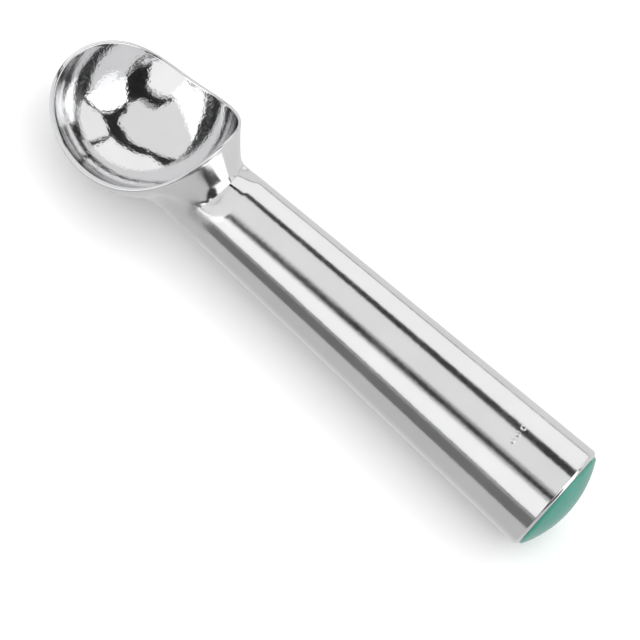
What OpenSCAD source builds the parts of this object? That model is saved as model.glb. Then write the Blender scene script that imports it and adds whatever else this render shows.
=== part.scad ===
// Ice-cream dipper: a one-piece die-cast bowl and handle.
// The hollow handle holds a heat-carrying liquid, shut in by a plug with an O-ring,
// and a coloured moulded cap finishes the open end.
// Everything is designed along the handle: x = 0 is the rear rim of the metal,
// the bowl lies at negative x, and the handle's axis is z = 0.
// lay_down() then tips the whole tool the little that it takes to lie on a table.

/* [Handle] */
// Diameter of the handle at its rear rim
handle_rear_d = 31.8; // [28:0.1:36]
// Diameter of the handle where its nose begins
handle_front_d = 23.2; // [20:0.1:28]
// Length from the rear rim to the foot of the nose
handle_len = 118; // [100:1:135]
// Length of the sloping face on top of the nose
nose_len = 4.8; // [2:0.1:8]
// Depth of the valley between nose and bowl, below the top of the handle
valley_depth = 1.1; // [0.5:0.1:4.5]
// Width of the bevel round the rear rim
rim_bevel = 0.9; // [0.4:0.1:1.4]

/* [Bowl] */
// Inner radius of the bowl: the ball of ice cream it rolls
bowl_r = 24.4; // [22:0.1:28]
// Distance from the rear rim of the handle to the middle of the bowl
bowl_reach = 148; // [140:1:165]
// Height of the bowl's middle above the handle's axis
bowl_lift = 13.4; // [12:0.1:15]
// Wall at the sides of the bowl
bowl_wall = 0.95; // [0.8:0.05:1.5]
// Extra wall at the bottom of the bowl
bowl_floor_extra = 0.75; // [0.4:0.05:1.2]
// Radius of the hollow that runs from the valley up the back of the bowl
back_fillet = 6.5; // [4:0.5:8]

/* [Rim line, in degrees above the bowl's equator] */
// Mean height of the rim
rim_mean = -14.4; // [-18:0.2:-10]
// How much the back of the rim stands above the front
rim_tilt = 15.5; // [10:0.5:18]
// How much front and back stand above the sides
rim_saddle = 13.6; // [8:0.2:16]
// How sharply the back rises to its peak
rim_peak = 3.4; // [0:0.2:5]

/* [End cap] */
// Diameter of the cap where it meets the metal
cap_d = 29.7; // [26:0.1:29.8]
// Height of the cap's straight edge
cap_edge = 0.6; // [0.3:0.1:1.5]
// Height of the dome above that edge
cap_dome = 3.9; // [2:0.1:6]
// Length of the cap's skirt inside the handle
cap_skirt_len = 6; // [4:0.5:6.5]
// Wall of the cap
cap_wall = 1.8; // [1.2:0.1:2.5]

/* [Inside the handle] */
// Depth of the recess that takes the cap's skirt
recess_depth = 7; // [7:0.5:9]
// Radius of that recess
recess_r = 13.4; // [13:0.1:13.6]
// Radius of the plug's seat
seat_r = 12.3; // [11.8:0.1:12.6]
// Length of the plug's seat
seat_len = 12; // [10:0.5:16]
// Radius of the liquid's chamber behind the plug
chamber_rear_r = 11.4; // [10.5:0.1:11.6]
// Radius of the chamber at its far end
chamber_front_r = 8.6; // [7:0.1:8.8]
// Distance from the rear rim to the chamber's far end
chamber_end = 106; // [90:1:108]
// Height above the handle's axis that the liquid reaches when the tool lies down
fill_level = 7; // [4:0.5:8]
// Section diameter of the O-ring, squeezed in its groove
o_ring_d = 2.4; // [2:0.1:3]

/* [Size mark] */
// Number of raised pips near the rear rim
pip_count = 3; // [2:1:5]
// Diameter of a pip
pip_d = 1.5; // [1:0.1:2]
// Height of a pip above the handle
pip_h = 0.3; // [0.2:0.05:0.5]
// Distance from the rear rim to the pips
pip_back = 18.5; // [14:0.5:30]

/* [Hidden] */
$fn = 96;

handle_rear_r = handle_rear_d / 2;
handle_front_r = handle_front_d / 2;
// Gap round pieces that are pushed together by hand or filled by a liquid
seat_gap = 0.05;
// How far a cutting tool stands clear of the face it cuts
clear = 1;

// Bowl: the outer sphere is a little larger and lower, so the floor is thicker
bowl_mid = [-bowl_reach, 0, bowl_lift];
outer_r = bowl_r + bowl_wall;
outer_mid = bowl_mid - [0, 0, bowl_floor_extra];
rim_steps = 96;

// Valley: where the nose's slope meets the hollow that climbs the bowl's back.
// The hollow bites a little into the bowl's back, so the two skins cross cleanly
fillet_bite = 0.3;
valley_z = handle_front_r - valley_depth;
valley_turn = 16;
fillet_mid_z = valley_z + back_fillet * cos(valley_turn);
fillet_gap_z = fillet_mid_z - outer_mid[2];
fillet_mid_x = outer_mid[0] + sqrt(pow(outer_r + back_fillet - fillet_bite, 2) - pow(fillet_gap_z, 2));
valley_x = fillet_mid_x - back_fillet * sin(valley_turn);
fillet_top_turn = 90 - atan2(fillet_gap_z, fillet_mid_x - outer_mid[0]);

// Neck: a loft from the plain handle, over the nose, to the bowl's slanting back
neck_root_x = valley_x + 2 * nose_len;
// How far the loft's first ring stays inside the handle's end, so no corner lies on its edge
neck_step = 0.03;
nose_rings = 6;
neck_rings = 10;
neck_ring_points = 60;
neck_side_z = -0.4 * outer_r;
neck_side_y = 0.61 * outer_r;
neck_under_z = -0.94 * outer_r;

// Angle that lets the rear rim and the bowl's underside touch one plane
heel = [-rim_bevel, 0, -handle_r(-rim_bevel)];
heel_run = heel[0] - outer_mid[0];
heel_drop = outer_mid[2] - heel[2];
rest_tilt = asin(outer_r / norm([heel_run, heel_drop])) - atan2(heel_drop, heel_run);

// Ends of the whole tool, which centre it on the origin
cap_dome_r = (pow(cap_d / 2, 2) + pow(cap_dome, 2)) / (2 * cap_dome);
cap_dome_mid_x = cap_edge + cap_dome - cap_dome_r;
tip_ray = [-cos(rim_angle(180)), 0, sin(rim_angle(180))];
tip_slip = bowl_floor_extra * tip_ray[2];
tip = bowl_mid + (sqrt(pow(tip_slip, 2) - pow(bowl_floor_extra, 2) + pow(outer_r, 2)) - tip_slip) * tip_ray;
front_x = turned(tip)[0];
rear_x = turned([cap_dome_mid_x, 0, 0])[0] + cap_dome_r;

metal = "silver";
cap_green = [0.20, 0.58, 0.48];

function turned(p) = [
    p[0] * cos(rest_tilt) + p[2] * sin(rest_tilt),
    p[1],
    p[2] * cos(rest_tilt) - p[0] * sin(rest_tilt)
];

// Angle of the rim above the bowl's equator, at a bearing that is 0 towards the handle
function rim_angle(bearing) = rim_mean + rim_tilt * cos(bearing)
    + rim_saddle * cos(2 * bearing) + rim_peak * cos(3 * bearing);

function along_ray(bearing, lift) = [cos(lift) * cos(bearing), cos(lift) * sin(bearing), sin(lift)];

// Point on a curve that leaves a towards b and arrives at c
function bend(a, b, c, u) = a * pow(1 - u, 2) + b * 2 * u * (1 - u) + c * pow(u, 2);

function handle_r(x) = handle_rear_r + (handle_front_r - handle_rear_r) * min(-x / handle_len, 1);

// Points round the neck, from its top line, side line and underside line.
// A top above 1 is a flat one, as the nose's slope leaves it
function neck_ring(top, side, under, flatness) = [
    for (i = [0:neck_ring_points - 1])
        let (
            turn = 360 * i / neck_ring_points,
            mid = [side[0], 0, side[2]],
            round_top = (1 - flatness) + flatness * side[1] / max(top[2] - side[2], 1)
        )
        mid + [0, side[1] * sin(turn), 0]
            + (cos(turn) >= 0 ? (top - mid) * min(cos(turn) * round_top, 1) : (mid - under) * cos(turn))
];

// Upright rings along the nose, whose slope cuts the top off the handle
function nose_ring(x, step = 0) = neck_ring(
    [x, 0, min(handle_r(x) - step, valley_z + valley_depth / nose_len * (x - valley_x))],
    [x, handle_r(x) - step, 0],
    [x, 0, step - handle_r(x)],
    1
);

// Top, side and underside of the neck, from the valley (u = 0) into the bowl (u = 1)
function fillet_turn(u) = valley_turn + u * (fillet_top_turn - valley_turn);
function neck_top(u) = [
    fillet_mid_x - back_fillet * sin(fillet_turn(u)),
    0,
    fillet_mid_z - back_fillet * cos(fillet_turn(u))
];
function on_bowl(y, z) = outer_mid + [sqrt(pow(outer_r - fillet_bite, 2) - pow(y, 2) - pow(z, 2)), y, z];
function neck_side(u) = bend(
    [valley_x, handle_r(valley_x), 0],
    [valley_x - 6.5, handle_front_r, 0.5],
    on_bowl(neck_side_y, neck_side_z),
    u
);
function neck_under(u) = bend(
    [valley_x, 0, -handle_r(valley_x)],
    [valley_x - 10, 0, -handle_front_r],
    on_bowl(0, neck_under_z),
    u
);

// Joins rings of equal length into one closed skin
module loft(rings) {
    n = len(rings[0]);
    last = len(rings) - 1;
    polyhedron(
        points = [for (ring = rings) each ring],
        faces = [
            [for (i = [0:n - 1]) i],
            for (k = [0:last - 1], i = [0:n - 1])
                each [
                    [k * n + i, (k + 1) * n + (i + 1) % n, k * n + (i + 1) % n],
                    [k * n + i, (k + 1) * n + i, (k + 1) * n + (i + 1) % n]
                ],
            [for (i = [n - 1:-1:0]) last * n + i]
        ],
        convexity = 4
    );
}

// Turns an outline of [radius, x] points about the handle's axis
module turned_on_axis(outline) {
    rotate([0, 90, 0])
        rotate_extrude()
            polygon(outline);
}

module disc_on_axis(x0, x1, r) {
    translate([x0, 0, 0])
        rotate([0, 90, 0])
            cylinder(h = x1 - x0, r = r);
}

module lay_down() {
    translate([-(front_x + rear_x) / 2, 0, -turned(heel)[2]])
        rotate([0, rest_tilt, 0])
            children();
}

module handle_blank() {
    turned_on_axis([
        [0, neck_root_x],
        [handle_r(neck_root_x), neck_root_x],
        [handle_r(-rim_bevel), -rim_bevel],
        [handle_rear_r - rim_bevel, 0],
        [0, 0]
    ]);
}

module neck_blank() {
    inner = 0.6;
    last_ring = neck_ring(neck_top(1), neck_side(1), neck_under(1), 0);
    loft([
        nose_ring(neck_root_x, neck_step),
        for (k = [0:nose_rings - 1])
            nose_ring(valley_x + nose_len * (1 - k / nose_rings)),
        for (k = [0:neck_rings])
            let (u = k / neck_rings)
            neck_ring(neck_top(u), neck_side(u), neck_under(u), 1 - u),
        [for (p = last_ring) outer_mid + (p - outer_mid) * inner]
    ]);
}

// Fan of rays from the bowl's middle through the rim line, closed high above it
module mouth_cut() {
    reach = 2 * bowl_r;
    ring = [
        for (i = [0:rim_steps - 1])
            let (bearing = 360 * i / rim_steps)
            bowl_mid + reach * along_ray(bearing, rim_angle(bearing))
    ];
    polyhedron(
        points = concat([bowl_mid, bowl_mid + [0, 0, 2 * reach]], ring),
        faces = [
            for (i = [0:rim_steps - 1])
                each [
                    [0, 2 + i, 2 + (i + 1) % rim_steps],
                    [1, 2 + (i + 1) % rim_steps, 2 + i]
                ]
        ],
        convexity = 4
    );
}

module size_pips() {
    spread = 9;
    lean = 11;
    for (i = [0:pip_count - 1])
        rotate([lean - (i - (pip_count - 1) / 2) * spread, 0, 0])
            translate([-pip_back, 0, handle_r(-pip_back) - 1])
                cylinder(h = 1 + pip_h, d = pip_d);
}

module inside_of_handle() {
    disc_on_axis(-recess_depth, clear, recess_r);
    disc_on_axis(-recess_depth - seat_len, -recess_depth + clear, seat_r);
    chamber(0, clear);
}

// Space for the liquid: gap shrinks it all round, and mouth runs it on into the plug's seat
module chamber(gap, mouth) {
    turned_on_axis([
        [0, -chamber_end + gap],
        [chamber_front_r - gap, -chamber_end + gap],
        [chamber_rear_r - gap, -recess_depth - seat_len - gap + mouth],
        [0, -recess_depth - seat_len - gap + mouth]
    ]);
}

module body_casting() {
    color(metal)
        lay_down()
            difference() {
                union() {
                    handle_blank();
                    neck_blank();
                    translate(outer_mid)
                        sphere(r = outer_r);
                    size_pips();
                }
                inside_of_handle();
                translate(bowl_mid)
                    sphere(r = bowl_r);
                mouth_cut();
            }
}

module heat_transfer_fluid() {
    color("lightblue")
        lay_down()
            difference() {
                chamber(seat_gap, 0);
                translate([-chamber_end - clear, -handle_rear_r, fill_level])
                    cube([chamber_end, 2 * handle_rear_r, handle_rear_r]);
            }
}

module sealing_plug() {
    groove_w = 1.3 * o_ring_d;
    groove_r = seat_r - o_ring_d;
    plug_mid = -recess_depth - seat_len / 2;
    color("gainsboro")
        lay_down()
            difference() {
                disc_on_axis(-recess_depth - seat_len, -recess_depth, seat_r - seat_gap);
                difference() {
                    disc_on_axis(plug_mid - groove_w / 2, plug_mid + groove_w / 2, seat_r + clear);
                    disc_on_axis(plug_mid - groove_w, plug_mid + groove_w, groove_r);
                }
                disc_on_axis(-recess_depth - seat_len / 4, -recess_depth + clear, seat_r / 2);
            }
}

module plug_o_ring() {
    color([0.1, 0.1, 0.1])
        lay_down()
            translate([-recess_depth - seat_len / 2, 0, 0])
                rotate([0, 90, 0])
                    rotate_extrude()
                        translate([seat_r - o_ring_d / 2, 0])
                            circle(d = o_ring_d);
}

module cap_dome() {
    intersection() {
        translate([0, 0, cap_dome_mid_x])
            sphere(r = cap_dome_r);
        translate([0, 0, seat_gap])
            cylinder(h = cap_edge + cap_dome, d = cap_d);
    }
}

module cap_skirt() {
    skirt_r = recess_r - seat_gap;
    difference() {
        translate([0, 0, -cap_skirt_len])
            cylinder(h = cap_skirt_len + cap_edge, r = skirt_r);
        translate([0, 0, -cap_skirt_len - clear])
            cylinder(h = cap_skirt_len + clear, r = skirt_r - cap_wall);
    }
}

module end_cap() {
    color(cap_green)
        lay_down()
            rotate([0, 90, 0])
                union() {
                    cap_dome();
                    cap_skirt();
                }
}

body_casting();
heat_transfer_fluid();
sealing_plug();
plug_o_ring();
end_cap();
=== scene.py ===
"""Ice-cream dipper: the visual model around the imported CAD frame, in metres."""

import math

import bmesh
import bpy
import numpy as np
from mathutils import Matrix, Vector


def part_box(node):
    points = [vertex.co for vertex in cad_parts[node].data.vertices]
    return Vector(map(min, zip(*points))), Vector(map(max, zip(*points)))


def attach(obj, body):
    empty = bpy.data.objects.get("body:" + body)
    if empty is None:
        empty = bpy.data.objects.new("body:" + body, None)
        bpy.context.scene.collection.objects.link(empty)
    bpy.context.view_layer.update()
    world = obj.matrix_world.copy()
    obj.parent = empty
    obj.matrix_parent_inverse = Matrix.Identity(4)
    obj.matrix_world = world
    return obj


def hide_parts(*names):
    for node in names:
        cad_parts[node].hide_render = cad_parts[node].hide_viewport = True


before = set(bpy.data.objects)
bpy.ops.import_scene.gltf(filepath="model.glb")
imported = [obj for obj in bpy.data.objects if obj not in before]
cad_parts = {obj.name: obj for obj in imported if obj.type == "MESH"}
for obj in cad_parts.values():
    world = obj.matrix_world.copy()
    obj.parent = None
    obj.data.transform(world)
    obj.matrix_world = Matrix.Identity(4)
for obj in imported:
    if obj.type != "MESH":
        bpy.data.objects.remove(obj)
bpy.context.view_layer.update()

# ---------------------------------------------------------------- driving dimensions
# Measured along the handle as in the CAD: x = 0 is the rear rim of the metal, the bowl
# lies at negative x, and z = 0 is the handle's axis.
HANDLE_REAR_R = 0.0159
HANDLE_FRONT_R = 0.0116
HANDLE_LEN = 0.118
TAPER = (HANDLE_REAR_R - HANDLE_FRONT_R) / HANDLE_LEN
RIM_BEVEL = 0.0009
BEVEL_SOFT, BEVEL_CROWN = 0.00018, 0.00005  # softening of its corners, and its swell

BOWL_R = 0.0244
BOWL_MID = np.array([-0.148, 0.0, 0.0134])
BOWL_WALL = 0.00095
FLOOR_EXTRA = 0.00075
OUTER_R = BOWL_R + BOWL_WALL
OUTER_MID = BOWL_MID - [0, 0, FLOOR_EXTRA]
RIM_ROUND = 0.00038  # radius of the rim's two edges
RIM_SHARE = 0.48  # largest share of the wall's thickness that one edge takes
RIM_MEAN, RIM_TILT, RIM_SADDLE, RIM_PEAK = (
    math.radians(a) for a in (-14.4, 15.5, 13.6, 3.4)
)

NOSE_LEN = 0.0048
VALLEY_DEPTH = 0.0011
VALLEY_TURN = math.radians(16)
BACK_FILLET = 0.0065
NOSE_SOFT = 0.0003
NOSE_ROOT = 2.2  # the nose begins to form this many of its lengths behind the crease
SCOOP_TURN, SCOOP_FADE = math.radians(26), math.radians(62)
RIDGE_TURN, RIDGE_FADE = math.radians(34), math.radians(82)
RIDGE_REACH = 0.92  # share of the way up to the rim that the ridge climbs the bowl
RIDGE_SAG = 0.0003  # hollow of the ridge's line below a straight one
VALLEY_BACK = 0.0008  # the crease lies this much behind the hollow's own start
VALLEY_CROWN = 20.0  # extra crowning of the valley across, in metres per square metre
CREASE_BEND = 0.028  # radius of the valley's crease in plan
NECK_PULL, NECK_PULL_SWING = 0.36, 0.10  # share that the neck's sides run on

RECESS_DEPTH, RECESS_R = 0.007, 0.0134
SEAT_LEN, SEAT_R = 0.012, 0.0123
CHAMBER_REAR_R, CHAMBER_FRONT_R, CHAMBER_END = 0.0114, 0.0086, 0.106

CAP_R = 0.01485
CAP_EDGE = 0.0006
CAP_DOME = 0.0039
CAP_SKIRT_LEN, CAP_SKIRT_R, CAP_WALL = 0.006, 0.01335, 0.0018
CAP_GAP = 0.00005
CAP_SHOULDER = 0.0011

PIP_BACK, PIP_R, PIP_H, PIP_SUNK = 0.0185, 0.00075, 0.0003, 0.0006
PIP_COUNT, PIP_SPREAD, PIP_LEAN = 3, math.radians(9), math.radians(11)

# Roughness of each part of the casting, and how deep its marks, peel and grain are
HANDLE_GLOSS, NECK_GLOSS, FLANK_GLOSS, BOWL_GLOSS = 0.135, 0.10, 0.36, 0.085
MARK_DEPTH, PEEL_DEPTH, GRAIN_DEPTH = 0.0000022, 0.000009, 0.000024

HANDLE_STEP, NOSE_STEP = 0.0025, 0.0002  # distance between the casting's rings
NECK_RINGS, BOWL_OUTSIDE_RINGS, BOWL_INSIDE_RINGS = 52, 48, 72
AROUND = 256  # points round the casting and the cap
TURNS = np.linspace(0, 2 * math.pi, AROUND, endpoint=False)  # 0 is up, a quarter is +Y
OFF_TOP = np.minimum(TURNS, 2 * math.pi - TURNS)

# ---------------------------------------------------------------- from design to frame
VALLEY_Z = HANDLE_FRONT_R - VALLEY_DEPTH
FILLET_MID_Z = VALLEY_Z + BACK_FILLET * math.cos(VALLEY_TURN)
FILLET_RISE = FILLET_MID_Z - OUTER_MID[2]
FILLET_MID_X = OUTER_MID[0] + math.sqrt(
    (OUTER_R + BACK_FILLET) ** 2 - FILLET_RISE**2
)
VALLEY_X = FILLET_MID_X - BACK_FILLET * math.sin(VALLEY_TURN) + VALLEY_BACK
FILLET_TOP_TURN = math.pi / 2 - math.atan2(FILLET_RISE, FILLET_MID_X - OUTER_MID[0])


def handle_r(x):
    return HANDLE_REAR_R - TAPER * np.minimum(-x, HANDLE_LEN)


def rest_tilt():
    """Angle that lets the rear rim and the bowl's underside touch one plane."""
    run = -RIM_BEVEL - OUTER_MID[0]
    drop = OUTER_MID[2] + handle_r(-RIM_BEVEL)
    return math.asin(OUTER_R / math.hypot(run, drop)) - math.atan2(drop, run)


TILT = rest_tilt()
CAP_DOME_R = (CAP_R**2 + CAP_DOME**2) / (2 * CAP_DOME)
CAP_MID_X = CAP_EDGE + CAP_DOME - CAP_DOME_R


def turned(p):
    p = np.asarray(p, float)
    c, s = math.cos(TILT), math.sin(TILT)
    return np.stack(
        [p[..., 0] * c + p[..., 2] * s, p[..., 1], p[..., 2] * c - p[..., 0] * s], -1
    )


SHIFT = np.array(
    [
        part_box("end_cap")[1].x - turned([CAP_MID_X, 0, 0])[0] - CAP_DOME_R,
        0,
        -turned([-RIM_BEVEL, 0, -handle_r(-RIM_BEVEL)])[2],
    ]
)


def to_row(p):
    return turned(p) + SHIFT


# ---------------------------------------------------------------- mesh helpers
def unit(v):
    return v / np.linalg.norm(v, axis=-1, keepdims=True)


def circle(x, r):
    return np.stack(
        [np.full(AROUND, float(x)), r * np.sin(TURNS), r * np.cos(TURNS)], 1
    )


def pole(x, z=0.0):
    return np.array([[x, 0.0, z]])


def slerp(a, b, u):
    """Unit directions a towards b, the same share u of the way for each."""
    angle = np.arccos(np.clip((a * b).sum(1), -1, 1))[:, None]
    small = angle < 1e-6
    s = np.where(small, 1.0, np.sin(angle))
    return unit(
        np.where(small, a, (np.sin((1 - u) * angle) * a + np.sin(u * angle) * b) / s)
    )


def skin(name, rings, sharp_degrees=28.0, merge=2e-6):
    """One closed mesh through rings of equal length, with single points as its ends."""
    bm = bmesh.new()
    rows = [[bm.verts.new(p) for p in to_row(ring)] for ring in rings]
    for a, b in zip(rows, rows[1:]):
        n = max(len(a), len(b))
        for i in range(n):
            j = (i + 1) % n
            if len(a) == 1:
                bm.faces.new((a[0], b[j], b[i]))
            elif len(b) == 1:
                bm.faces.new((a[i], a[j], b[0]))
            else:
                bm.faces.new((a[i], a[j], b[j], b[i]))
    bmesh.ops.remove_doubles(bm, verts=bm.verts, dist=merge)
    bmesh.ops.recalc_face_normals(bm, faces=bm.faces)
    limit = math.radians(sharp_degrees)
    for e in bm.edges:
        e.smooth = not (len(e.link_faces) == 2 and e.calc_face_angle(0.0) > limit)
    for f in bm.faces:
        f.smooth = True
    mesh = bpy.data.meshes.new(name)
    bm.to_mesh(mesh)
    bm.free()
    obj = bpy.data.objects.new(name, mesh)
    bpy.context.scene.collection.objects.link(obj)
    return obj


# ---------------------------------------------------------------- the casting
def rim_lift(bearing):
    """Height of the rim above the bowl's equator, as an angle; bearing 0 is the back."""
    return (
        RIM_MEAN
        + RIM_TILT * np.cos(bearing)
        + RIM_SADDLE * np.cos(2 * bearing)
        + RIM_PEAK * np.cos(3 * bearing)
    )


def rim_rays(bearing):
    lift = rim_lift(bearing)
    return np.stack(
        [np.cos(lift) * np.cos(bearing), np.cos(lift) * np.sin(bearing), np.sin(lift)], 1
    )


def rim_section():
    """Rings over the rounded rim edge, from the outer skin to the inner one."""
    ray = rim_rays(TURNS)
    step = 1e-4
    along = unit(rim_rays(TURNS + step) - rim_rays(TURNS - step))
    up = unit(np.cross(ray, along))
    slip = FLOOR_EXTRA * ray[:, 2]
    reach = np.sqrt(slip**2 - FLOOR_EXTRA**2 + OUTER_R**2) - slip
    outer = BOWL_MID + reach[:, None] * ray
    inner = BOWL_MID + BOWL_R * ray
    r = np.minimum(RIM_ROUND, RIM_SHARE * (reach - BOWL_R))[:, None]
    rings = [OUTER_MID + OUTER_R * unit(outer - r * up - OUTER_MID)]
    steps = 5
    for k in range(1, steps + 1):
        t = math.pi / 2 * k / steps
        rings.append(outer - r * up - r * ray + r * (math.cos(t) * ray + math.sin(t) * up))
    for k in range(steps):
        t = math.pi / 2 * k / steps
        rings.append(inner - r * up + r * ray + r * (math.cos(t) * up - math.sin(t) * ray))
    rings.append(BOWL_MID + BOWL_R * unit(inner - r * up - BOWL_MID))
    return rings


def smooth(t):
    """0 below 0, 1 above 1, and an easy curve between."""
    t = np.clip(t, 0, 1)
    return t * t * (3 - 2 * t)


def scooped(turn):
    """How fully the nose's slope cuts the handle at a turn from its top."""
    return smooth((SCOOP_FADE - turn) / (SCOOP_FADE - SCOOP_TURN))


def nose_ring(x, lean):
    """Ring of the handle with its top lowered along the nose's slope. A full lean carries
    its sides towards the bowl as the crease in the valley goes."""
    ring = circle(x, 1.0)
    ring[:, 0] -= lean * (HANDLE_FRONT_R * ring[:, 1]) ** 2 / (2 * CREASE_BEND)
    r = handle_r(ring[:, 0])
    ring[:, 1] *= r
    ring[:, 2] *= r
    down = VALLEY_X + NOSE_LEN - ring[:, 0]
    down = (down + np.sqrt(down**2 + NOSE_SOFT**2)) / 2 * smooth(2 + down / NOSE_LEN)
    drop = VALLEY_DEPTH + VALLEY_CROWN * ring[:, 1] ** 2
    ring[:, 2] -= drop * down / NOSE_LEN * scooped(OFF_TOP)
    return ring


def neck_loop_on_bowl():
    """Closed loop round the bowl's back where the neck has become the bowl."""
    top = np.array(
        [
            FILLET_MID_X - BACK_FILLET * math.sin(FILLET_TOP_TURN),
            0,
            FILLET_MID_Z - BACK_FILLET * math.cos(FILLET_TOP_TURN),
        ]
    )
    side_z, side_y, under_z = -0.4 * OUTER_R, 0.61 * OUTER_R, -0.94 * OUTER_R
    side = OUTER_MID + [math.sqrt(OUTER_R**2 - side_y**2 - side_z**2), side_y, side_z]
    under = OUTER_MID + [math.sqrt(OUTER_R**2 - under_z**2), 0, under_z]
    mid = np.array([side[0], 0, side[2]])
    c = np.cos(TURNS)[:, None]
    ring = mid + np.stack([0 * TURNS, side[1] * np.sin(TURNS), 0 * TURNS], 1)
    ring = ring + np.where(c >= 0, (top - mid) * c, (mid - under) * c)
    return OUTER_MID + OUTER_R * unit(ring - OUTER_MID)


def neck_rings(start, end, rim_dirs, on_top):
    """Smooth lines from the valley's ring to the bowl. On top they make one hollow that
    climbs to the rim, round across; at the sides they run tangent into the bowl."""
    reach = np.linalg.norm(end - start, axis=1)[:, None]
    rise = VALLEY_TURN * scooped(OFF_TOP)
    leave = np.stack([-np.cos(rise), 0 * rise, np.sin(rise)], 1)
    out = unit(end - OUTER_MID)
    arrive = unit(rim_dirs - (rim_dirs * out).sum(1)[:, None] * out)
    w = on_top[:, None]
    run = end - start
    sag = RIDGE_SAG * unit(np.stack([run[:, 2], 0 * rise, -run[:, 0]], 1))
    p1 = start + leave * (NECK_PULL - NECK_PULL_SWING * np.cos(TURNS))[:, None] * reach
    p2 = end - arrive * NECK_PULL * reach
    p1 = w * (start + run / 3 - sag) + (1 - w) * p1
    p2 = w * (end - run / 3 - sag) + (1 - w) * p2
    rings = []
    for k in range(1, NECK_RINGS + 1):
        u = k / NECK_RINGS
        rings.append(
            start * (1 - u) ** 3
            + 3 * p1 * u * (1 - u) ** 2
            + 3 * p2 * u**2 * (1 - u)
            + end * u**3
        )
    return rings


def spaced(a, b, step):
    """Values from a to b, neither end left out, about step apart."""
    return np.linspace(a, b, max(2, int(round(abs(b - a) / step)) + 1))


def inside_rings():
    """The chamber for the liquid, the plug's seat and the recess for the cap's skirt."""
    seat_x = -RECESS_DEPTH - SEAT_LEN
    rings = [
        pole(-CHAMBER_END),
        circle(-CHAMBER_END, CHAMBER_FRONT_R * 0.5),
        circle(-CHAMBER_END, CHAMBER_FRONT_R),
    ]
    for u in np.linspace(0, 1, 8)[1:]:
        x = -CHAMBER_END + u * (CHAMBER_END + seat_x)
        rings.append(circle(x, CHAMBER_FRONT_R + u * (CHAMBER_REAR_R - CHAMBER_FRONT_R)))
    return rings + [
        circle(seat_x, SEAT_R),
        circle(-RECESS_DEPTH, SEAT_R),
        circle(-RECESS_DEPTH, RECESS_R),
        circle(0, RECESS_R),
    ]


def rear_rim_rings():
    """A flat land, then a bevel with softened corners."""
    land_r = HANDLE_REAR_R - RIM_BEVEL
    bevel_r = float(handle_r(-RIM_BEVEL))
    soft = BEVEL_SOFT
    rings = [
        circle(0, land_r - soft),
        circle(-soft * 0.12, land_r - soft * 0.35),
        circle(-soft * 0.45, land_r + soft * 0.35),
    ]
    for u in (0.3, 0.5, 0.7):
        rings.append(circle(-RIM_BEVEL * u, land_r + (bevel_r - land_r) * u + BEVEL_CROWN))
    return rings + [
        circle(-RIM_BEVEL + soft * 0.5, bevel_r - soft * 0.42),
        circle(-RIM_BEVEL - soft * 0.1, bevel_r - soft * 0.1),
        circle(-RIM_BEVEL - soft, float(handle_r(-RIM_BEVEL - soft))),
    ]


def handle_rings():
    """The tapered handle from behind its rim to the crease in front of its nose."""
    root = VALLEY_X + NOSE_ROOT * NOSE_LEN
    rings = []
    for x in spaced(-RIM_BEVEL - 2 * BEVEL_SOFT, root, HANDLE_STEP):
        rings.append(nose_ring(x, 0.0))
    for x in spaced(root, VALLEY_X, NOSE_STEP)[1:]:
        rings.append(nose_ring(x, float(smooth((root - x) / (root - VALLEY_X)))))
    return rings


def casting_rings():
    """Out of the chamber, over the rear rim, along the handle and the neck, up the bowl's
    outside, over its rim and down to the bottom of its inside."""
    rings = inside_rings() + rear_rim_rings() + handle_rings()
    rim = rim_section()
    rim_dirs = unit(rim[0] - OUTER_MID)
    low_dirs = unit(neck_loop_on_bowl() - OUTER_MID)
    on_top = smooth((RIDGE_FADE - OFF_TOP) / (RIDGE_FADE - RIDGE_TURN))
    climb = RIDGE_REACH * on_top
    end_dirs = np.stack(
        [
            slerp(low_dirs[i : i + 1], rim_dirs[i : i + 1], climb[i])[0]
            for i in range(AROUND)
        ]
    )
    rings += neck_rings(rings[-1], OUTER_MID + OUTER_R * end_dirs, rim_dirs, on_top)
    for k in range(1, BOWL_OUTSIDE_RINGS):
        share = k / BOWL_OUTSIDE_RINGS
        rings.append(OUTER_MID + OUTER_R * slerp(end_dirs, rim_dirs, share))
    rings += rim
    inner_dirs = unit(rim[-1] - BOWL_MID)
    down = np.tile([0.0, 0.0, -1.0], (AROUND, 1))
    for k in range(1, BOWL_INSIDE_RINGS):
        rings.append(BOWL_MID + BOWL_R * slerp(inner_dirs, down, k / BOWL_INSIDE_RINGS))
    rings.append(pole(BOWL_MID[0], BOWL_MID[2] - BOWL_R))
    return rings


# ---------------------------------------------------------------- the end cap
def dome_x(r):
    return CAP_MID_X + np.sqrt(CAP_DOME_R**2 - r**2)


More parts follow.
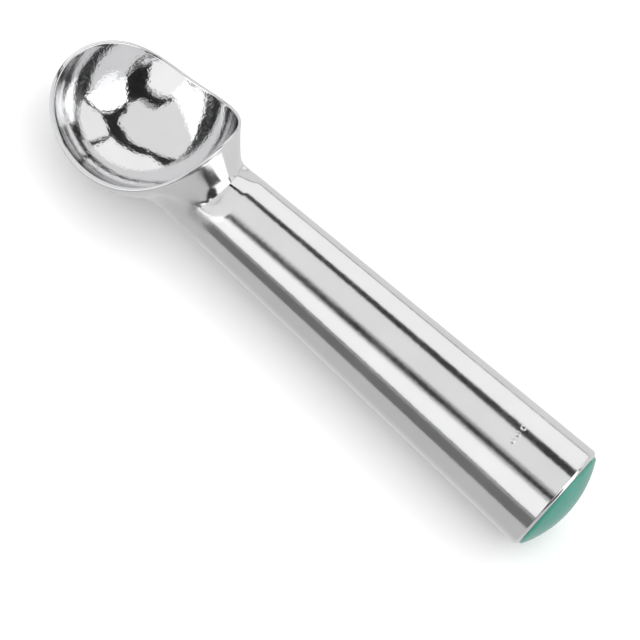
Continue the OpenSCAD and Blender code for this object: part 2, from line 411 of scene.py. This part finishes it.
def cap_rings():
    inner_r = CAP_SKIRT_R - CAP_WALL
    corner, under_corner = 0.0003, 0.0004
    rings = [
        pole(0),
        circle(0, inner_r * 0.5),
        circle(0, inner_r - under_corner),
        circle(-under_corner, inner_r),
        circle(-CAP_SKIRT_LEN + corner, inner_r),
        circle(-CAP_SKIRT_LEN, inner_r + corner),
        circle(-CAP_SKIRT_LEN, CAP_SKIRT_R - corner),
        circle(-CAP_SKIRT_LEN + corner, CAP_SKIRT_R),
        circle(CAP_GAP, CAP_SKIRT_R),
    ]
    # A rounded shoulder leads from the seat on the metal's rim on to the dome
    mid_r = CAP_R - CAP_SHOULDER
    lean = math.asin(mid_r / (CAP_DOME_R - CAP_SHOULDER))
    mid_x = CAP_MID_X + (CAP_DOME_R - CAP_SHOULDER) * math.cos(lean)
    first = math.acos((CAP_GAP - mid_x) / CAP_SHOULDER)
    steps = 8
    for k in range(steps + 1):
        t = first + (lean - first) * k / steps
        rings.append(
            circle(mid_x + CAP_SHOULDER * math.cos(t), mid_r + CAP_SHOULDER * math.sin(t))
        )
    for r in np.linspace(mid_r + CAP_SHOULDER * math.sin(lean), 0, 26)[1:-1]:
        rings.append(circle(dome_x(r), r))
    rings.append(pole(float(dome_x(0.0))))
    return rings


# ---------------------------------------------------------------- size pips
def pip_rings(turn):
    """A small raised button with a rounded top, its foot sunk in the handle."""
    r = float(handle_r(-PIP_BACK))
    out = np.array([0, math.sin(turn), math.cos(turn)])
    side = np.array([0, math.cos(turn), -math.sin(turn)])
    ahead = np.array([1.0, 0, 0])
    foot = np.array([-PIP_BACK, 0, 0]) + out * (r - PIP_SUNK)

    def loop(radius, height):
        a = np.linspace(0, 2 * math.pi, 32, endpoint=False)[:, None]
        return foot + out * height + radius * (np.cos(a) * side + np.sin(a) * ahead)

    top = PIP_SUNK + PIP_H
    foot_r = PIP_R * 1.12
    rings = [foot[None, :], loop(foot_r, 0.0), loop(foot_r, PIP_SUNK)]
    steps = 6
    for k in range(steps + 1):
        t = math.pi / 2 * k / steps
        below_top = PIP_H * (1 - math.sin(t)) * 0.85
        rings.append(loop(PIP_R * (0.45 + 0.55 * math.cos(t)), top - below_top))
    rings.append((foot + out * top)[None, :])
    return rings


casting = skin("casting", casting_rings())
cap = skin("end_cap_moulding", cap_rings())
pips = [
    skin(f"size_pip_{k + 1}", pip_rings(-PIP_LEAN + (k - (PIP_COUNT - 1) / 2) * PIP_SPREAD))
    for k in range(PIP_COUNT)
]


# ---------------------------------------------------------------- materials
def material(name, color, **sockets):
    m = bpy.data.materials.new(name)
    m.use_nodes = True
    shader = m.node_tree.nodes["Principled BSDF"]
    shader.inputs["Base Color"].default_value = (*color, 1)
    for key, value in sockets.items():
        shader.inputs[key.replace("_", " ")].default_value = value
    return m, m.node_tree, shader


def node(tree, kind, *inputs, out=0, settings=(), **named):
    """Add a node and return one of its outputs; an input is a value or another output."""
    n = tree.nodes.new("ShaderNode" + kind)
    for key, value in dict(settings).items():
        setattr(n, key, value)
    for key, value in [*enumerate(inputs), *named.items()]:
        socket = n.inputs[key if isinstance(key, int) else key.replace("_", " ")]
        if isinstance(value, bpy.types.NodeSocket):
            tree.links.new(value, socket)
        else:
            socket.default_value = value
    return n.outputs[out]


def finish(tree, shader, color, roughness, normal):
    for key, value in (("Base Color", color), ("Roughness", roughness), ("Normal", normal)):
        tree.links.new(value, shader.inputs[key])


def math_node(tree, operation, a, b=0.0):
    return node(tree, "Math", a, b, settings={"operation": operation})


def times(tree, a, b):
    return math_node(tree, "MULTIPLY", a, b)


def inverse(tree, share):
    return math_node(tree, "SUBTRACT", 1.0, share)


def spread(tree, value, low, high, to_low=0.0, to_high=1.0):
    """Map low..high of a value on to a range, held at its ends."""
    return node(tree, "MapRange", value, low, high, to_low, to_high)


def blend_values(tree, share, a, b):
    """a where share is 0 and b where it is 1."""
    return math_node(
        tree, "ADD", times(tree, inverse(tree, share), a), times(tree, share, b)
    )


def noise(tree, where, size, detail=2.0, stretch=(1, 1, 1)):
    """Noise with features about size metres across, longer along a stretched axis."""
    if stretch != (1, 1, 1):
        where = node(tree, "Mapping", where, Scale=tuple(1 / k for k in stretch))
    return node(tree, "TexNoise", Vector=where, Scale=1 / size, Detail=detail, Roughness=0.55)


def uneven(tree, cloud, low, high):
    """A value that wanders from low to high over the middle of a noise's range."""
    return spread(tree, cloud, 0.3, 0.7, low, high)


def bump(tree, height, depth, under=None):
    """Normal for a height field of 0 to 1 that stands depth metres high."""
    named = {"Height": height, "Distance": depth, "Strength": 1.0}
    if under is not None:
        named["Normal"] = under
    return node(tree, "Bump", **named)


def object_place(tree):
    return node(tree, "TexCoord", out="Object")


def shades(tree, value, dark, light):
    """A colour between two shades."""
    n = tree.nodes.new("ShaderNodeValToRGB")
    for stop, place, color in zip(n.color_ramp.elements, (0.3, 0.7), (dark, light)):
        stop.position = place
        stop.color = (*color, 1)
    tree.links.new(value, n.inputs[0])
    return n.outputs[0]


def cast_aluminium():
    """Tumble-polished casting: a bright bowl with a fine orange peel, a satin handle with
    faint lengthways marks, and softer sheen down the neck's flanks."""
    m, tree, shader = material("cast_aluminium", (0.88, 0.88, 0.885), Metallic=1.0)
    place = object_place(tree)
    x, y, _ = (node(tree, "SeparateXYZ", place, out=k) for k in range(3))
    grain = noise(tree, place, 0.0008, 1.0)
    peel = noise(tree, place, 0.0016, 3.0)
    broad = noise(tree, place, 0.014, 3.0)
    marks = noise(tree, place, 0.00045, 3.0, stretch=(14, 1, 1))

    # Where on the casting: inside the bowl, ahead of the nose, out on the flanks
    mid = tuple(to_row(BOWL_MID))
    off = node(tree, "VectorMath", place, mid, out=1, settings={"operation": "DISTANCE"})
    inside = spread(tree, off, BOWL_R + 0.00080, BOWL_R + 0.00095, 1, 0)
    outside = inverse(tree, inside)
    nose = float(to_row([VALLEY_X + NOSE_LEN, 0, 0])[0])
    ahead = spread(tree, x, nose - 0.004, nose, 1, 0)
    out_to_side = spread(tree, math_node(tree, "ABSOLUTE", y), 0.0070, 0.0105)
    flank = times(tree, times(tree, ahead, out_to_side), outside)

    # Roughness: bowl bright, handle satin, flanks softest; each a little uneven
    body = blend_values(tree, ahead, HANDLE_GLOSS, NECK_GLOSS)
    body = blend_values(tree, flank, body, FLANK_GLOSS)
    body = blend_values(tree, inside, body, BOWL_GLOSS)
    speck = spread(tree, grain, 0.25, 0.75, 0.85, 1.15)
    rough = times(tree, times(tree, body, uneven(tree, broad, 0.85, 1.18)), speck)

    # Lengthways marks outside the bowl, then the peel, then a grain that the bowl has most of
    normal = bump(tree, times(tree, marks, outside), MARK_DEPTH)
    normal = bump(tree, peel, PEEL_DEPTH, normal)
    coarse = spread(tree, inside, 0, 1, 0.13, 1.0)
    normal = bump(tree, times(tree, grain, coarse), GRAIN_DEPTH, normal)
    color = shades(tree, broad, (0.85, 0.85, 0.86), (0.90, 0.90, 0.905))
    finish(tree, shader, color, rough, normal)
    return m


def moulded_plastic(name, dark, light, roughness, peel_depth=0.000004):
    """Moulded plastic or rubber: faint flow in its colour and a fine skin."""
    m, tree, shader = material(name, light)
    place = object_place(tree)
    flow = noise(tree, place, 0.006, 3.0)
    rough = uneven(tree, flow, roughness * 0.85, roughness * 1.2)
    normal = bump(tree, noise(tree, place, 0.0022, 2.0), peel_depth * 2)
    normal = bump(tree, noise(tree, place, 0.0004, 2.0), peel_depth * 0.5, normal)
    finish(tree, shader, shades(tree, flow, dark, light), rough, normal)
    return m


def turned_aluminium():
    """Lathe-turned plug: fine rings about the handle's axis."""
    m, tree, shader = material("turned_aluminium", (0.80, 0.80, 0.81), Metallic=1.0)
    to_axis = tuple(-to_row([0, 0, 0]))
    place = node(
        tree, "VectorMath", object_place(tree), to_axis, settings={"operation": "ADD"}
    )
    rings = node(
        tree,
        "TexWave",
        Vector=place,
        Scale=900.0,
        Distortion=0.6,
        Detail=2.0,
        settings={"wave_type": "RINGS", "rings_direction": "X"},
        out=1,
    )
    broad = noise(tree, place, 0.004, 3.0)
    color = shades(tree, broad, (0.76, 0.76, 0.77), (0.82, 0.82, 0.83))
    finish(tree, shader, color, uneven(tree, broad, 0.26, 0.36), bump(tree, rings, 0.000006))
    return m


def clear_liquid():
    """Pale heat-carrying liquid, with faint clouding."""
    m, tree, shader = material(
        "clear_liquid", (0.80, 0.90, 0.96), IOR=1.34, Transmission_Weight=1.0
    )
    place = object_place(tree)
    cloud = noise(tree, place, 0.012, 3.0)
    color = shades(tree, cloud, (0.74, 0.87, 0.95), (0.86, 0.93, 0.97))
    normal = bump(tree, noise(tree, place, 0.003), 0.000004)
    finish(tree, shader, color, uneven(tree, cloud, 0.02, 0.06), normal)
    return m


GREEN = (0.042, 0.225, 0.175), (0.052, 0.262, 0.203)
BLACK = (0.012, 0.012, 0.013), (0.024, 0.024, 0.025)

metal = cast_aluminium()
cap.data.materials.append(moulded_plastic("green_plastic", *GREEN, 0.24, 0.0000016))
for o in [casting, *pips]:
    o.data.materials.append(metal)
    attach(o, "root")
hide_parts("body_casting")
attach(cap, "root")
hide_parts("end_cap")
for carried, look in {
    "heat_transfer_fluid": clear_liquid(),
    "sealing_plug": turned_aluminium(),
    "plug_o_ring": moulded_plastic("nitrile_rubber", *BLACK, 0.55),
}.items():
    for place in bpy.data.objects[carried].material_slots:
        place.material = look


# ---------------------------------------------------------------- stage
def emission(name, brightness):
    m = bpy.data.materials.new(name)
    m.use_nodes = True
    tree = m.node_tree
    tree.nodes.clear()
    out = tree.nodes.new("ShaderNodeOutputMaterial")
    tree.links.new(node(tree, "Emission", WHITE, brightness), out.inputs["Surface"])
    return m


def studio_panel(name, brightness, corners, reach=2.0):
    """A panel round the object that only its gloss sees: corners are (azimuth, lowest,
    highest elevation) in degrees, azimuth 0 along +Y and 90 along +X."""
    corners = np.array(corners, float)
    steps = spaced(corners[0, 0], corners[-1, 0], 3.0)
    low = np.interp(steps, corners[:, 0], corners[:, 1])
    high = np.interp(steps, corners[:, 0], corners[:, 2])
    verts, faces, rows = [], [], 9
    for az, a, b in zip(np.radians(steps), np.radians(low), np.radians(high)):
        for el in np.linspace(a, b, rows):
            flat = reach * math.cos(el)
            up = reach * math.sin(el) + PANEL_EYE
            verts.append((flat * math.sin(az), flat * math.cos(az), up))
    for i in range(len(steps) - 1):
        for k in range(rows - 1):
            a = i * rows + k
            faces.append((a, a + 1, a + rows + 1, a + rows))
    mesh = bpy.data.meshes.new(name)
    mesh.from_pydata(verts, [], faces)
    mesh.materials.append(emission(name, brightness))
    obj = bpy.data.objects.new(name, mesh)
    bpy.context.scene.collection.objects.link(obj)
    obj.visible_camera = obj.visible_diffuse = obj.visible_shadow = False


WHITE = (1, 1, 1, 1)
PANEL_EYE = 0.02  # height that the panels are set out from
SCRIM_EDGE = [  # azimuth and elevation of the overhead scrim's lower edge
    (-180, 63), (-162, 56), (-155, 20), (-150, 2), (-78, 2), (-70, 40),
    (-60, 55), (-40, 64), (-25, 68), (-12, 74), (0, 75), (12, 74),
    (60, 74), (95, 77), (112, 75), (128, 66), (155, 60), (180, 63),
]  # fmt: skip
studio_panel("overhead_scrim", 0.78, [(azimuth, edge, 90) for azimuth, edge in SCRIM_EDGE])
studio_panel("far_left_panel", 0.95, [(-62, 2, 40), (-50, 2, 47), (-30, 2, 54), (4, 2, 56)])
studio_panel("far_panel", 0.90, [(9, 2, 55), (30, 2, 58), (50, 2, 50)])
studio_panel(
    "right_panel", 1.35, [(54, 2, 54), (62, 2, 61), (75, 2, 65), (100, 2, 68), (122, 2, 64)]
)
studio_panel(
    "near_panel",
    0.98,
    [(152, 2, 20), (158, 2, 41), (172, 2, 43), (184, 2, 42), (196, 2, 33), (204, 2, 31)],
)
studio_panel(
    "left_panel", 1.30, [(-165, 2, 28), (-150, 2, 30), (-120, 2, 25), (-98, 2, 14)], 1.9
)
studio_panel("right_low_panel", 1.25, [(60, -16, 2), (84, -16, 2)])
studio_panel("right_flag", 0.03, [(82, 4, 20), (90, 2, 22), (124, 2, 22)], 1.8)
studio_panel(
    "near_panel_edge", 0.50, [(158, 40, 44), (172, 41, 47), (184, 41, 47), (196, 33, 38)], 1.9
)
studio_panel("overhead_near_edge", 0.35, [(160, 57, 62), (180, 57, 64), (200, 53, 58)], 1.9)
studio_panel(
    "near_flag", 0.16, [(122, -29, 1), (150, -29, 1), (152, -29, -3), (210, -29, -3)], 1.8
)

FLOOR_HALF = 3.0
floor = bpy.data.objects.new("floor", bpy.data.meshes.new("floor"))
floor.data.from_pydata(
    [(FLOOR_HALF * i, FLOOR_HALF * j, 0) for i, j in ((-1, -1), (1, -1), (1, 1), (-1, 1))],
    [],
    [(0, 1, 2, 3)],
)
bpy.context.scene.collection.objects.link(floor)
floor_paint, _, _ = material("floor", (0.93, 0.93, 0.93), Roughness=0.9)
floor.data.materials.append(floor_paint)
floor.visible_glossy = False


def studio_world():
    """Even light for matt surfaces; gloss sees a dark studio above and the floor below."""
    world = bpy.data.worlds.new("studio")
    bpy.context.scene.world = world
    world.use_nodes = True
    tree = world.node_tree
    even = tree.nodes["Background"]
    even.inputs["Color"].default_value = WHITE
    even.inputs["Strength"].default_value = 1.3
    where = node(tree, "TexCoord", out="Generated")
    away, up = (node(tree, "SeparateXYZ", where, out=k) for k in ("Y", "Z"))
    floor_tone = spread(tree, away, -0.3, 0.3, 0.53, 0.70)
    below = spread(tree, up, -0.03, 0.0, 1.0, 0.02)
    seen = node(tree, "Background", WHITE, times(tree, floor_tone, below))
    glossy = node(tree, "LightPath", out="Is Glossy Ray")
    mixed = node(tree, "MixShader", glossy, even.outputs[0], seen)
    tree.links.new(mixed, tree.nodes["World Output"].inputs["Surface"])


def soft_light(name, place, size, power):
    """A square light that faces the origin and that gloss doesn't see."""
    data = bpy.data.lights.new(name, "AREA")
    data.shape = "SQUARE"
    data.size = size
    data.energy = power
    obj = bpy.data.objects.new(name, data)
    obj.location = place
    obj.rotation_mode = "QUATERNION"
    obj.rotation_quaternion = (-Vector(place)).to_track_quat("-Z", "Y")
    bpy.context.scene.collection.objects.link(obj)
    obj.visible_glossy = False


studio_world()
soft_light("key", (0.25, 0.7, 1.2), 0.6, 2.0)

# ---------------------------------------------------------------- camera
CAMERA_AZ, CAMERA_EL, CAMERA_ROLL = (math.radians(a) for a in (-6.014, 56.108, 37.178))
CAMERA_DISTANCE = 1.0
CAMERA_TARGET = Vector((0.006286, 0, 0.003738))
LENS, SENSOR = 213.575625, 36.0  # millimetres

look = Vector(
    (
        math.sin(CAMERA_AZ) * math.cos(CAMERA_EL),
        math.cos(CAMERA_AZ) * math.cos(CAMERA_EL),
        -math.sin(CAMERA_EL),
    )
)
level = look.cross(Vector((0, 0, 1))).normalized()
upright = level.cross(look)
right = math.cos(CAMERA_ROLL) * level + math.sin(CAMERA_ROLL) * upright
above = -math.sin(CAMERA_ROLL) * level + math.cos(CAMERA_ROLL) * upright
rotation = Matrix((right, above, -look)).transposed().to_4x4()
camera_data = bpy.data.cameras.new("camera")
camera_data.sensor_width = SENSOR
camera_data.lens = LENS
camera_data.clip_start, camera_data.clip_end = 0.05, 20.0
camera = bpy.data.objects.new("camera", camera_data)
bpy.context.scene.collection.objects.link(camera)
camera.matrix_world = Matrix.Translation(CAMERA_TARGET - CAMERA_DISTANCE * look) @ rotation
bpy.context.scene.camera = camera
bpy.context.scene.view_settings.view_transform = "Standard"
